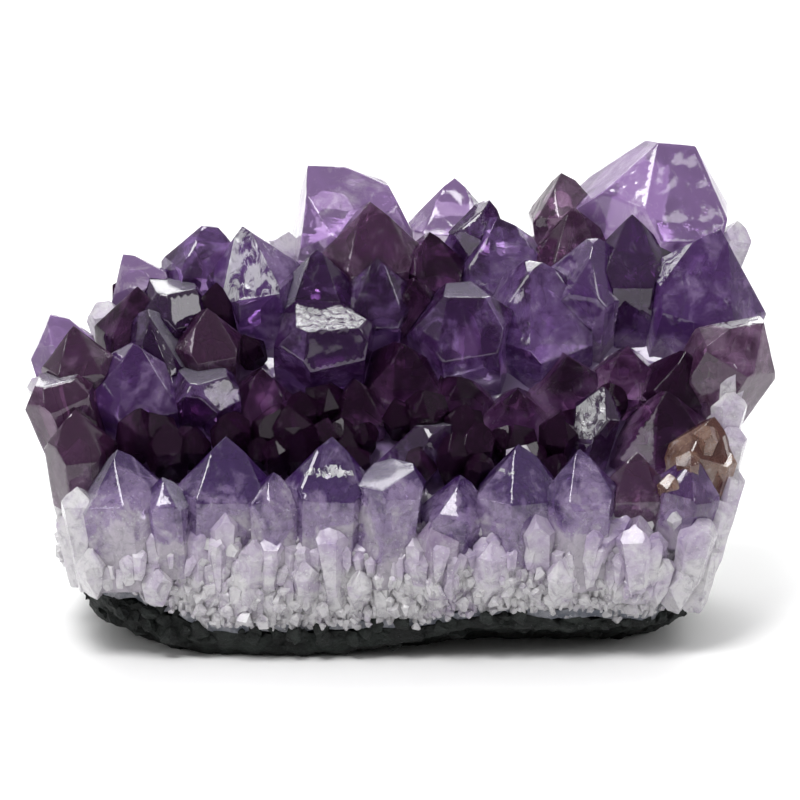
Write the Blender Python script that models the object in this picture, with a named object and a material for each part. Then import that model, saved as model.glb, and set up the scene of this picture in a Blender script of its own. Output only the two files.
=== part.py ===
"""Amethyst cluster: a piece of geode wall, broken out with its crystals.

From outside in it is a dark volcanic rind, a thin chalcedony band, a bed of white quartz and the
amethyst points that grow from the bed. Every point is a crystal of its own: a six-sided prism
under a six-faced head, cut back where a stronger neighbour grew through it.

Frame: +X to the right of the show face, +Y to the back, +Z up, origin under the middle of the
piece on the surface that it stands on. Dimensions below are in millimetres.
"""

import math
import random
from collections import namedtuple

import bmesh
import bpy
from mathutils import Matrix, Vector, noise

MM = 0.001

# ---- driving dimensions -------------------------------------------------------------------------
GAP = 0.3  # clearance between two solids that grew together
SLANT = math.radians(15)  # the show face is laid out on a plane that leans back by this much
FRONT_EDGE = -34.0  # y of the foot of the show face
HEAD_SLOPE = math.radians(51.8)  # a quartz head face's normal, from the crystal's long axis
ROOT_TAPER = math.radians(2.5)  # a point grows wider from root to shoulder
SEED = 11

# ---- the stone: outlines from the foot to the rim -----------------------------------------------
# Each ring is a rounded rectangle: height, then its left, right, front and back limits.
Ring = namedtuple("Ring", "height left right front back")
STONE_RINGS = [
    Ring(0.0, -52, 50, -32, 20),
    Ring(2.6, -60, 56, -34, 26),
    Ring(7.5, -64, 60, -35, 31),
    Ring(16.0, -66, 63, -34.5, 35),
    Ring(24.0, -66, 65, -32, 37),
    Ring(29.0, -67, 66, -26, 38),
    Ring(33.0, -68, 67, -17, 39),
    Ring(39.0, -68, 69, -9, 40),
    Ring(46.0, -64, 71, -2, 41),
    Ring(54.0, -52, 72, 5, 41),
    Ring(62.0, -38, 70, 12, 40),
    Ring(68.0, -22, 64, 19, 38),
]
RING_POINTS = 40
SQUARENESS = 4.0  # superellipse power of a ring
STONE_ROUGHNESS = 1.1
SIDE_WALL = 8.0  # how far the bed comes forward at its two ends, above the pocket
SOLE_FROM, SOLE_TO = -44.0, 4.0  # the sole's front rests on the surface between these
FOOT_LIFT = 4.2  # and stands this clear of it beyond them

# ---- the layers, measured in from the outside of the stone ---------------------------------------
Layer = namedtuple("Layer", "floor right back")
RIND = Layer(floor=5.2, right=1.2, back=4.2)
BAND = Layer(floor=7.4, right=2.5, back=6.6)
LAYER_WAVE = 1.4  # how far the layers rise and fall along the foot
LEFT_CURL = 4.5  # the layers turn up this far at the left end
OPEN_SIDE = 5.0  # the layers are broken off at the front, the left and the rim

# ---- the points ----------------------------------------------------------------------------------
# A point's tip is laid out on the show plane: across from the middle, up from the foot edge, and
# deep behind the plane. Width is across the flats at the shoulder, and length runs from tip to
# root. lean swings the long axis to the right, nod tips it towards the viewer, and roll turns the
# crystal about its axis, in degrees. cap is one more face across the head: the lean and the nod of
# its normal, and its depth below the tip.
Point = namedtuple("Point", "name across up deep width length lean nod roll cap", defaults=(0, None))

FRONT_POINTS = [
    Point("front_point_01", -56, 41.5, -4, 17, 27, -8, 14, 35),
    Point("front_point_02", -47, 36, -7, 9, 20, -6, 15, 60),
    Point("front_point_03", -34.5, 44, -3, 19, 30, 2, 17, 8),
    Point("front_point_04", -25, 37, -7, 10, 22, 0, 14, 35),
    Point("front_point_05", -13.5, 44, -5, 17, 28, 2, 15, 0),
    Point("front_point_06", -1, 42.5, -7, 14.5, 28, 6, 14, 25, (-12, 30, 5.0)),
    Point("front_point_07", 8, 29.5, -6.5, 9.5, 17, 0, 14, 10),
    Point("front_point_08", 12, 36.5, -5, 13, 22, 6, 16, 50),
    Point("front_point_09", 23.5, 42.5, -5, 17, 28, 2, 15, 28),
    Point("front_point_10", 35.5, 41.5, -6, 15, 27, 0, 15, 20),
    Point("front_point_11", 47.5, 28.5, -4.5, 10.5, 17, 8, 14, 45),
]

POCKET_POINTS = [
    Point("pocket_point_01", -27.5, 57.5, 10, 18, 22, 2, 40, 5),
    Point("pocket_point_02", -38.5, 69.5, 12, 14, 22, 0, 32, 20),
    Point("pocket_point_03", -39.5, 60.5, 6, 14, 22, -4, 32, 40, (-2, 22, 5.0)),
    Point("pocket_point_04", -64.5, 49.5, 2, 13, 20, -6, 22, 0),
    Point("pocket_point_05", 0.5, 62.5, 11, 16, 20, 3, 44, 30),
    Point("pocket_point_06", -9, 55.5, 10, 12.5, 18, -4, 38, 10),
    Point("pocket_point_07", 11, 46.5, 3, 8.5, 21, 50, 20, 25),
    Point("pocket_point_08", 23.5, 53.5, 10, 16, 18, 2, 44, 0),
    Point("pocket_point_09", 33.5, 60, 12, 16.5, 20, -2, 46, 15),
    Point("pocket_point_10", 40.5, 54, 5, 9, 19, 14, 14, 40, (-50, 60, 0.5)),
    Point("pocket_point_11", 53, 53, 6, 20, 24, 0, 34, 25),
    Point("pocket_point_12", 47, 41, -2, 13.5, 20, 4, 26, 10),
    Point("pocket_point_13", 45.5, 62, 12, 14, 20, 4, 40, 0),
    Point("pocket_point_14", 57, 61, 10, 15, 20, 10, 38, 35),
    Point("pocket_point_15", 62.5, 48, 3, 12, 18, 20, 20, 20),
    Point("pocket_point_16", 58, 40, -2, 12, 18, 12, 16, 50),
    Point("pocket_point_17", -70.5, 59, 4, 13.5, 26, -20, 26, 10, (-12, 22, 4.2)),
    Point("pocket_point_18", 11.5, 56, 11, 13, 18, 0, 44, 50),
]

WALL_POINTS = [
    Point("wall_point_01", -53, 62.5, 5, 20, 24, 0, 42, 20),
    Point("wall_point_02", -65, 66, 8, 14, 26, -8, 26, 0),
    Point("wall_point_03", -69.5, 69, 15, 13, 26, -14, 10, 30, (14, 8, 0.8)),
    Point("wall_point_04", -50, 69.5, 12, 17.5, 26, -10, 36, 50, (60, 30, 0.5)),
    Point("wall_point_05", -52.5, 74, 17, 14, 26, 2, 26, 0),
    Point("wall_point_06", -55.5, 80.5, 26, 12, 28, -26, 4, 25),
    Point("wall_point_07", -45.5, 78, 17, 14, 26, 4, 28, 40, (4, 22, 4.5)),
    Point("wall_point_08", -38, 87.5, 25, 16.5, 34, 6, 22, 0, (6, 6, 1.5)),
    Point("wall_point_09", -31.5, 86, 19, 17.5, 32, -14, 27, -10),
    Point("wall_point_10", -16.5, 81.5, 18, 19, 32, 0, 32, 0),
    Point("wall_point_11", -15, 72.5, 6, 20, 30, 2, 46, 20, (4, 30, 7.0)),
    Point("wall_point_12", -6, 91, 23, 18.5, 32, 2, 30, 15),
    Point("wall_point_13", -18.5, 98.5, 35, 25, 24, -30, 12, 30),
    Point("wall_point_14", 11, 96, 36, 17.5, 32, 2, 8, 0),
    Point("wall_point_15", 18, 91.5, 31, 13, 28, 22, 18, 50),
    Point("wall_point_16", 6, 85, 25, 14, 28, 0, 28, 20),
    Point("wall_point_17", -4.5, 79.5, 17, 17, 26, 0, 42, 0),
    Point("wall_point_18", 19.5, 88, 27, 19.5, 30, -2, 36, 30),
    Point("wall_point_19", 32.5, 97, 34, 15, 32, -4, 14, 35),
    Point("wall_point_20", 35, 90, 26, 16.5, 28, -4, 34, 0),
    Point("wall_point_21", 27, 79.5, 16, 24.5, 34, -2, 36, 28, (-28, 26, 1.5)),
    Point("wall_point_22", 12, 76, 11, 20.5, 30, -6, 40, 5, (2, 18, 4.4)),
    Point("wall_point_23", 39, 84, 19, 18.5, 34, 4, 28, 50, (-17, 30, 0.8)),
    Point("wall_point_24", 46.5, 88.5, 21, 18, 34, 0, 24, 0),
    Point("wall_point_25", 55, 106.5, 31, 29, 31, 13, 18, 32, (6, 2, 3.8)),
    Point("wall_point_26", 64, 85.5, 19, 25, 34, 18, 30, 2),
    Point("wall_point_27", 72, 68.5, 10, 17, 28, 32, 24, 0, (-6, 20, 2.0)),
    Point("wall_point_28", 3, 75.5, 19, 14, 24, 6, 44, 25),
]
ALL_POINTS = FRONT_POINTS + POCKET_POINTS + WALL_POINTS

# ---- colours ---------------------------------------------------------------------------------------
RIND_FINISH = ((0.018, 0.022, 0.020), 0.85)
BAND_FINISH = ((0.20, 0.22, 0.25), 0.35)
BED_FINISH = ((0.72, 0.69, 0.73), 0.45)
POINT_FINISH = ((0.16, 0.08, 0.28), 0.08)


def clear_scene():
    for obj in list(bpy.data.objects):
        bpy.data.objects.remove(obj)


def material(name, finish):
    """A plain Principled material of that colour and roughness, made once."""
    made = bpy.data.materials.get(name)
    if made is None:
        made = bpy.data.materials.new(name)
        made.use_nodes = True
        shader = made.node_tree.nodes["Principled BSDF"]
        colour, roughness = finish
        shader.inputs["Base Color"].default_value = (*colour, 1)
        shader.inputs["Roughness"].default_value = roughness
        shader.inputs["Metallic"].default_value = 0.0
    return made


def object_from(bm, name, finish_name=None, finish=None):
    """Turns a mesh drawn in millimetres into an object in metres. With no finish it is a cutter."""
    bmesh.ops.recalc_face_normals(bm, faces=bm.faces[:])
    bmesh.ops.scale(bm, vec=(MM, MM, MM), verts=bm.verts[:])
    mesh = bpy.data.meshes.new(name)
    bm.to_mesh(mesh)
    bm.free()
    obj = bpy.data.objects.new(name, mesh)
    bpy.context.scene.collection.objects.link(obj)
    if finish is None:
        obj.hide_render = True
        obj.display_type = "WIRE"
    else:
        mesh.materials.append(material(finish_name, finish))
    return obj


# ---- the stone and its layers ----------------------------------------------------------------------
def smooth_step(value, low, high):
    share = min(1.0, max(0.0, (value - low) / (high - low)))
    return share * share * (3 - 2 * share)


def ring_place(ring, turn):
    """A point of a ring, at that turn round its rounded rectangle."""
    side, depth = math.cos(turn), math.sin(turn)
    power = 2 / SQUARENESS
    x = math.copysign(abs(side) ** power, side)
    y = math.copysign(abs(depth) ** power, depth)
    return Vector((
        (ring.left + ring.right) / 2 + x * (ring.right - ring.left) / 2,
        (ring.front + ring.back) / 2 + y * (ring.back - ring.front) / 2,
        ring.height,
    ))


def shape_wall(place, depth):
    """Brings the bed forward at its two ends, where the geode wall curls round the pocket."""
    end = max(smooth_step(place.x, 44, 62), 0.7 * smooth_step(-place.x, 50, 64))
    above = smooth_step(place.z, 27, 33) * (1 - smooth_step(place.z, 44, 66))
    place.y -= SIDE_WALL * end * above * max(0.0, -depth)


def lift_foot(place, depth):
    """Raises the front edge of the foot beyond the sole, and draws the sole back from under it."""
    beyond = smooth_step(place.x, SOLE_TO, SOLE_TO + 10) + smooth_step(-place.x, -SOLE_FROM, 54)
    beyond *= max(0.0, -depth)
    if place.z > 0:
        place.z += FOOT_LIFT * beyond * (1 - smooth_step(place.z, 3, 22))
    else:
        place.y += 13 * beyond


def wave_layer(place, spot):
    """Makes the underside of a layer rise and fall, and turn up at the left end."""
    low = 1 - smooth_step(place.z, 10, 32)
    curl = LEFT_CURL * smooth_step(-place.x, 50, 66)
    wave = LAYER_WAVE * noise.noise(Vector((spot.x, spot.y, 0)) / 9)
    place.z += low * (curl + wave)


def loft(rings, grow=0.0, inset=None):
    """A closed body through the rings. grow swells it. With an inset it is the core of a layer."""
    bm = bmesh.new()
    rows = []
    for ring in rings:
        row = []
        for step in range(RING_POINTS):
            turn = 2 * math.pi * (step + 0.5) / RING_POINTS
            outward = Vector((math.cos(turn), math.sin(turn), 0))
            place = ring_place(ring, turn)
            shape_wall(place, outward.y)
            spot = Vector((65 * outward.x, 35 * outward.y, ring.height))
            bump = noise.noise(spot / 9) + 0.5 * noise.noise(spot / 4)
            lift_foot(place, outward.y)
            place += outward * (STONE_ROUGHNESS * bump + grow)
            if place.z > 0:
                place.z += 0.4 * STONE_ROUGHNESS * bump
            if inset is not None:
                wave_layer(place, spot)
                place.z += inset * (1 - smooth_step(ring.height, 8, 24))
            row.append(bm.verts.new(place))
        rows.append(row)
    for low, high in zip(rows, rows[1:]):
        for step in range(RING_POINTS):
            following = (step + 1) % RING_POINTS
            bm.faces.new((low[step], low[following], high[following]))
            bm.faces.new((low[step], high[following], high[step]))
    if grow:
        for vert in rows[0]:
            vert.co.z -= grow
        for vert in rows[-1]:
            vert.co.z += grow
    for row in (rows[0][::-1], rows[-1]):
        middle = sum((vert.co for vert in row), Vector()) / RING_POINTS
        hub = bm.verts.new(middle)
        for step in range(RING_POINTS):
            bm.faces.new((row[step], row[(step + 1) % RING_POINTS], hub))
    return bm


def core_rings(layer, inset):
    """Rings of all that lies inside a layer: open to the front, the left and the rim."""
    rim = STONE_RINGS[-1]
    rings = []
    for source in STONE_RINGS[2:] + [rim._replace(height=rim.height + OPEN_SIDE)]:
        low = 1 - smooth_step(source.height, 7.5, 22)
        rings.append(Ring(
            layer.floor * low + source.height * (1 - low),
            source.left - OPEN_SIDE,
            source.right - layer.right - inset - 6 * low,
            source.front - OPEN_SIDE,
            source.back - layer.back - inset - 6 * low,
        ))
    return rings


def boolean(obj, other, operation):
    modifier = obj.modifiers.new(other.name, "BOOLEAN")
    modifier.operation = operation
    modifier.object = other


def settle(obj):
    """Applies the Booleans and keeps the largest piece that they leave."""
    graph = bpy.context.evaluated_depsgraph_get()
    shaped = bpy.data.meshes.new_from_object(obj.evaluated_get(graph))
    obj.modifiers.clear()
    obj.data = shaped
    bm = bmesh.new()
    bm.from_mesh(shaped)
    bmesh.ops.remove_doubles(bm, verts=bm.verts[:], dist=0.01 * MM)
    bmesh.ops.dissolve_degenerate(bm, edges=bm.edges[:], dist=0.01 * MM)
    pieces = []
    left = set(bm.verts)
    while left:
        piece, edge = set(), [left.pop()]
        while edge:
            vert = edge.pop()
            piece.add(vert)
            for link in vert.link_edges:
                other = link.other_vert(vert)
                if other in left:
                    left.discard(other)
                    edge.append(other)
        pieces.append(piece)
    largest = max(pieces, key=len)
    spare = [vert for piece in pieces if piece is not largest for vert in piece]
    bmesh.ops.delete(bm, geom=spare, context="VERTS")
    bm.to_mesh(shaped)
    bm.free()


def remove(objects):
    for obj in objects:
        bpy.data.objects.remove(obj)


def build_stone():
    """The rind, the chalcedony band and the quartz bed, as three nested layers of one stone."""
    layers = [
        ("volcanic_rind", "rind", RIND_FINISH),
        ("chalcedony_band", "chalcedony", BAND_FINISH),
        ("quartz_bed", "quartz", BED_FINISH),
    ]
    rind, band, bed = (
        object_from(loft(STONE_RINGS), name, finish_name, finish)
        for name, finish_name, finish in layers
    )
    cores = [
        object_from(loft(core_rings(layer, inset), 0.0, inset), "core")
        for layer, inset in ((RIND, 0), (RIND, GAP), (BAND, 0), (BAND, GAP))
    ]
    boolean(rind, cores[0], "DIFFERENCE")
    boolean(band, cores[1], "INTERSECT")
    boolean(band, cores[2], "DIFFERENCE")
    boolean(bed, cores[3], "INTERSECT")
    for obj in (rind, band, bed):
        settle(obj)
    remove(cores)


# ---- the points --------------------------------------------------------------------------------------
def from_show_plane(across, up, deep):
    """A direction laid out on the leaning show plane, in the part's own axes."""
    lean, upright = math.sin(SLANT), math.cos(SLANT)
    return Vector((across, up * lean + deep * upright, up * upright - deep * lean))


def leaning(lean, nod):
    """Straight up the show plane, swung to the right by lean and to the viewer by nod."""
    lean, nod = math.radians(lean), math.radians(nod)
    across, up = math.sin(lean) * math.cos(nod), math.cos(lean) * math.cos(nod)
    return from_show_plane(across, up, -math.sin(nod))


def point_matrix(point):
    """The frame of a crystal: origin at its tip, +Z along its axis, -Y to the viewer."""
    along = leaning(point.lean, point.nod)
    away = from_show_plane(0, 0, 1)
    away = (away - away.dot(along) * along).normalized()
    turned = Matrix((away.cross(along), away, along)).transposed().to_4x4()
    tip = from_show_plane(point.across, point.up, point.deep)
    tip.y += FRONT_EDGE
    return Matrix.Translation(tip * MM) @ turned


def azimuth(degrees):
    """A level direction at that angle round the crystal from the viewer's side."""
    angle = math.radians(degrees)
    return Vector((math.sin(angle), -math.cos(angle), 0))


def crystal_faces(point):
    """The planes that bound a crystal, as (place, outward normal), in its own frame."""
    chance = random.Random(f"{SEED} {point.name}")
    flat = point.width / 2
    shoulder = -flat * math.tan(HEAD_SLOPE)
    faces = []
    for side in range(6):
        out = azimuth(point.roll + 60 * side)
        stretch = flat * chance.uniform(0.88, 1.08)
        normal = out * math.cos(ROOT_TAPER) - Vector((0, 0, math.sin(ROOT_TAPER)))
        faces.append((out * stretch + Vector((0, 0, shoulder)), normal))
        minor = side % 2
        rise = point.width * chance.uniform(0.04, 0.16) * minor
        normal = out * math.sin(HEAD_SLOPE) + Vector((0, 0, math.cos(HEAD_SLOPE)))
        faces.append((Vector((0, 0, rise)), normal))
    if point.cap:
        lean, nod, drop = point.cap
        normal = point_matrix(point).to_3x3().transposed() @ leaning(lean, nod)
        faces.append((Vector((0, 0, -drop)), normal))
    return faces


def cleave(bm, place, normal):
    """Splits the block along a plane, and closes the new face."""
    everything = bm.verts[:] + bm.edges[:] + bm.faces[:]
    cut = bmesh.ops.bisect_plane(
        bm, geom=everything, dist=1e-4, plane_co=place, plane_no=normal, clear_outer=True
    )
    rim = [item for item in cut["geom_cut"] if isinstance(item, bmesh.types.BMEdge)]
    if rim:
        bmesh.ops.contextual_create(bm, geom=rim)


def crystal(point, grow=0.0):
    """A crystal cleaved from a block, face by face. grow swells it, for use as a cutter."""
    bm = bmesh.new()
    bmesh.ops.create_cube(bm, size=1)
    block = Vector((2.4 * point.width, 2.4 * point.width, point.length + point.width + grow))
    bmesh.ops.scale(bm, vec=block, verts=bm.verts[:])
    middle = (point.width - point.length - grow) / 2
    bmesh.ops.translate(bm, vec=(0, 0, middle), verts=bm.verts[:])
    for place, normal in crystal_faces(point):
        cleave(bm, place + grow * normal, normal)
    return bm


def reach(point):
    """The middle and the radius of a ball round a crystal."""
    matrix = point_matrix(point)
    middle = matrix @ Vector((0, 0, -point.length * MM / 2))
    return middle, math.hypot(point.length / 2, point.width / 1.6) * MM


def build_points():
    """Grows every point. A wider crystal keeps its shape, and cuts into a narrower neighbour."""
    stone = object_from(loft(STONE_RINGS, GAP), "stone")
    by_strength = sorted(ALL_POINTS, key=lambda point: -point.width)
    grown = {}
    for rank, point in enumerate(by_strength):
        cutter = object_from(crystal(point, GAP), f"cutter_{point.name}")
        cutter.matrix_world = point_matrix(point)
        grown[point.name] = cutter
        obj = object_from(crystal(point), point.name, "amethyst", POINT_FINISH)
        obj.matrix_world = point_matrix(point)
        middle, radius = reach(point)
        for stronger in by_strength[:rank]:
            other_middle, other_radius = reach(stronger)
            if (other_middle - middle).length < radius + other_radius:
                boolean(obj, grown[stronger.name], "DIFFERENCE")
        boolean(obj, stone, "DIFFERENCE")
    bpy.context.view_layer.update()
    for point in ALL_POINTS:
        settle(bpy.data.objects[point.name])
    remove([stone, *grown.values()])


def centre_on_foot():
    """Moves every piece so that the origin is under the middle of the whole."""
    corners = []
    for obj in bpy.data.objects:
        obj.data.transform(obj.matrix_world)
        obj.matrix_world = Matrix()
        corners += [vert.co.copy() for vert in obj.data.vertices]
    low = [min(corner[axis] for corner in corners) for axis in range(3)]
    high = [max(corner[axis] for corner in corners) for axis in range(3)]
    middle = Vector(((low[0] + high[0]) / 2, (low[1] + high[1]) / 2, low[2]))
    for obj in bpy.data.objects:
        obj.data.transform(Matrix.Translation(-middle))


clear_scene()
build_stone()
build_points()
centre_on_foot()
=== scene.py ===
# %% [markdown]
# # An amethyst cluster
#
# Amethyst grows from the wall of a gas bubble in old lava. From outside in, a broken-out piece
# shows a dark volcanic rind, a thin grey band of chalcedony, a bed of white quartz, and the
# points: pale at the root, where they started, and violet at the tip, where iron came in last.
#
# The crystals here already exist as solids. Every cell takes one layer of the stone, says what
# it is on the real thing, and gives it the surface and the colour that the solid lacks.

import math
import random

import bmesh
import bpy
from mathutils import Matrix, Vector, noise
from mathutils.bvhtree import BVHTree


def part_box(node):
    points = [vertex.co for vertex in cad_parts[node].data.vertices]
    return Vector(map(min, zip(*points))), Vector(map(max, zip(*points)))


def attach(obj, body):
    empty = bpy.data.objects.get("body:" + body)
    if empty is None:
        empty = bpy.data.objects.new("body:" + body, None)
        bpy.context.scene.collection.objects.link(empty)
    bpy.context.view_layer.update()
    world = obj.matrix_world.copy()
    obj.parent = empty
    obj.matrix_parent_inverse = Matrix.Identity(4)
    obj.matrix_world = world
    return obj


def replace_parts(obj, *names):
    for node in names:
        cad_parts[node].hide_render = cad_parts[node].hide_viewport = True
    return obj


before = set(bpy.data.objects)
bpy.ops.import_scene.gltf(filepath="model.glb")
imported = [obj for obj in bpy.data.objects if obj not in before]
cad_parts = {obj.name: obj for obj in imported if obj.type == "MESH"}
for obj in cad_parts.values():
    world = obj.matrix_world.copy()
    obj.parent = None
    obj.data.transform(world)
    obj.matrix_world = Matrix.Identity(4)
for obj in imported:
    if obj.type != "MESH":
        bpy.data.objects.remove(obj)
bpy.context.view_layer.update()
MM = 0.001
points = sorted(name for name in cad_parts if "_point_" in name)
print(len(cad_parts), "solids,", len(points), "of them crystals")

# %% [markdown]
# ## The show face
#
# The crystals face the viewer on a plane that leans back by fifteen degrees. It helps to have one
# function that turns a place on that plane (to the right, up, and behind it, in millimetres) into
# a place in the scene, and one that goes back: colours change up the face, not up the room.

# %% Places on the show face
SLANT = math.radians(15)
FOOT_OF_FACE = Vector((-0.16, -35.8, 0))
UPRIGHT = Vector((0, math.sin(SLANT), math.cos(SLANT)))
INTO = Vector((0, math.cos(SLANT), -math.sin(SLANT)))


def on_face(across, up, deep=0.0):
    """The place in metres of a spot on the leaning face, given in millimetres."""
    back = up * math.sin(SLANT) + deep * math.cos(SLANT)
    rise = up * math.cos(SLANT) - deep * math.sin(SLANT)
    return (FOOT_OF_FACE + Vector((across, back, rise))) * MM


def up_face(place):
    """How far up the face a place is, in millimetres."""
    local = place / MM - FOOT_OF_FACE
    return local.y * math.sin(SLANT) + local.z * math.cos(SLANT)


def depth_of(place):
    """How far behind the face a place is, in millimetres."""
    local = place / MM - FOOT_OF_FACE
    return local.y * math.cos(SLANT) - local.z * math.sin(SLANT)


low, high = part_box("quartz_bed")
print("the bed reaches from", round(up_face(low), 1), "to", round(up_face(high), 1), "mm up the face")

# %% [markdown]
# ## Meshes fine enough to shape
#
# A solid from the frame is a shell of loose triangles. Merging its doubles makes it one skin, and
# dissolving the flat edges gives back its true faces. To bend a face a little it needs vertices
# inside it, so the skin is split wherever an edge is longer than the detail that it should carry.

# %% Take a copy of a solid, and refine it
def skin_of(node):
    """A merged copy of a solid, with its flat faces whole."""
    bm = bmesh.new()
    bm.from_mesh(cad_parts[node].data)
    bmesh.ops.remove_doubles(bm, verts=bm.verts[:], dist=0.02 * MM)
    bmesh.ops.dissolve_limit(bm, angle_limit=math.radians(0.6), verts=bm.verts[:], edges=bm.edges[:])
    return bm


def refine(bm, longest, rounds=7):
    """Splits edges until none is longer than that, in millimetres.

    Quads are cut along the shorter way, because the other way can double an edge on a thin strip.
    """
    bmesh.ops.remove_doubles(bm, verts=bm.verts[:], dist=0.004 * MM)
    bmesh.ops.triangulate(bm, faces=bm.faces[:], quad_method="SHORT_EDGE")
    for _ in range(rounds):
        long_edges = [edge for edge in bm.edges if edge.calc_length() > longest * MM]
        if not long_edges:
            break
        bmesh.ops.subdivide_edges(bm, edges=long_edges, cuts=1)
        bmesh.ops.triangulate(bm, faces=bm.faces[:], quad_method="SHORT_EDGE")


def chamfer(bm, width):
    """Cuts off every edge that is more than about eleven degrees sharp."""
    edges = [edge for edge in bm.edges if edge.is_manifold and edge.calc_face_angle() > 0.2]
    bmesh.ops.bevel(bm, geom=edges, offset=width * MM, segments=1, affect="EDGES", clamp_overlap=True)


def piece_from(bm, name, finish, corner):
    """Makes the mesh a piece on the root body. Edges sharper than corner stay crisp."""
    mesh = bpy.data.meshes.new(name)
    bm.to_mesh(mesh)
    bm.free()
    mesh.validate()
    mesh.materials.append(finish)
    mesh.shade_smooth()
    mesh.set_sharp_from_angle(angle=math.radians(corner))
    piece = bpy.data.objects.new(name, mesh)
    bpy.context.scene.collection.objects.link(piece)
    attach(piece, "root")
    return piece


def smooth(value, start, end):
    """A soft step from 0 at the start to 1 at the end."""
    share = min(1.0, max(0.0, (value - start) / (end - start)))
    return share * share * (3 - 2 * share)


bed_tree = BVHTree.FromBMesh(skin_of("quartz_bed"))
print("bed ready for measuring distances")

# %% [markdown]
# ## Helpers for node trees
#
# The finishes and the trees that grow crystals are all built from nodes. A few short helpers keep
# that readable: one adds a node and fills or links its inputs, the others stand for the sums and
# mixes that turn up again and again. They hold no looks of their own.

# %% A small helper for node trees
def add(tree, kind, inputs=None, **settings):
    """Adds a node, sets its properties, and fills or links the named or numbered inputs."""
    node = tree.nodes.new(kind)
    for key, value in settings.items():
        setattr(node, key, value)
    for key, value in (inputs or {}).items():
        if isinstance(value, bpy.types.NodeSocket):
            tree.links.new(value, node.inputs[key])
        else:
            node.inputs[key].default_value = value
    return node


def group_tree(name, inputs, outputs):
    """A shader node group with those sockets, as (name, kind, default)."""
    tree = bpy.data.node_groups.new(name, "ShaderNodeTree")
    for label, kind, default in inputs:
        socket = tree.interface.new_socket(label, in_out="INPUT", socket_type=f"NodeSocket{kind}")
        socket.default_value = default
    for label, kind in outputs:
        tree.interface.new_socket(label, in_out="OUTPUT", socket_type=f"NodeSocket{kind}")
    return tree, tree.nodes.new("NodeGroupInput"), tree.nodes.new("NodeGroupOutput")


def mix_colour(tree, share, first, second):
    """The first colour where the share is 0, the second where it is 1."""
    node = add(tree, "ShaderNodeMix", data_type="RGBA")
    for index, value in ((0, share), (6, first), (7, second)):
        if isinstance(value, bpy.types.NodeSocket):
            tree.links.new(value, node.inputs[index])
        else:
            node.inputs[index].default_value = value
    return node.outputs[2]


def maths(tree, operation, first, second, clamp=False):
    """One sum of two values."""
    node = add(tree, "ShaderNodeMath", {0: first, 1: second}, operation=operation)
    node.use_clamp = clamp
    return node.outputs[0]


def speckle(tree, place, scale, detail, roughness, distortion):
    """A cloudy noise, as a value."""
    values = {"Vector": place, "Scale": scale, "Detail": detail}
    values |= {"Roughness": roughness, "Distortion": distortion}
    return add(tree, "ShaderNodeTexNoise", values).outputs[0]


def cells(tree, place, scale):
    """The distance to the nearest of many scattered spots."""
    values = {"Vector": place, "Scale": scale}
    return add(tree, "ShaderNodeTexVoronoi", values, feature="F1").outputs["Distance"]


def ramp(tree, value, start, end):
    """A smooth step from 0 to 1."""
    node = add(tree, "ShaderNodeMapRange", {"Value": value, "From Min": start, "From Max": end})
    node.interpolation_type = "SMOOTHSTEP"
    return node.outputs[0]


print("node helpers ready")

# %% [markdown]
# ## Colour that grew with the crystal
#
# Colour in a point follows its growth: white and cloudy at the root, lilac, then violet, darkest
# under the tip. A vertex attribute called growth carries that from root to tip, and one node group
# turns it into colour. The veils are a stretched noise: thin clouds of tiny bubbles that follow the
# sides of the crystal. Where a face has a painted reflection or is broken, other attributes say so:
# the painted reflection greys it as if it mirrored the bright side of the room, and a break fills it
# with white flakes. Both come after the colour of growth itself.

# %% The growth group
growth_group, entry, leave = group_tree(
    "growth_colour",
    [
        ("Root", "Color", (0.80, 0.78, 0.82, 1)),
        ("Middle", "Color", (0.42, 0.32, 0.62, 1)),
        ("Tip", "Color", (0.10, 0.04, 0.24, 1)),
        ("Veils", "Float", 0.5),
        ("Clouds", "Float", 1.0),
        ("Grain", "Float", 0.0),
    ],
    [("Color", "Color"), ("Roughness", "Float"), ("Height", "Float")],
)
tree = growth_group
place = add(tree, "ShaderNodeTexCoord").outputs["Object"]
stretched = add(tree, "ShaderNodeMapping", {"Vector": place, "Scale": (1.0, 1.0, 0.45)}).outputs[0]
grown, broken, painted_reflection, sector = (
    add(tree, "ShaderNodeAttribute", attribute_name=name).outputs["Fac"]
    for name in ("growth", "broken", "painted_reflection", "sector")
)
cloud = speckle(tree, place, 150.0, 6.0, 0.6, 0.8)
puff = speckle(tree, place, 520.0, 5.0, 0.65, 0.5)
wisp = speckle(tree, stretched, 300.0, 8.0, 0.7, 2.0)
uneven = maths(tree, "MULTIPLY", maths(tree, "SUBTRACT", cloud, 0.5), 1.7)
small = maths(tree, "MULTIPLY", maths(tree, "SUBTRACT", puff, 0.5), 0.55)
uneven = maths(tree, "MULTIPLY", maths(tree, "ADD", uneven, small), entry.outputs["Clouds"])
level = maths(tree, "ADD", grown, uneven)
level = maths(tree, "ADD", level, maths(tree, "MULTIPLY", sector, 0.26), clamp=True)
colour = mix_colour(tree, ramp(tree, level, 0.05, 0.50), entry.outputs["Root"], entry.outputs["Middle"])
colour = mix_colour(tree, ramp(tree, level, 0.45, 0.95), colour, entry.outputs["Tip"])
print(len(growth_group.nodes), "nodes for the colour of growth")
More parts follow.
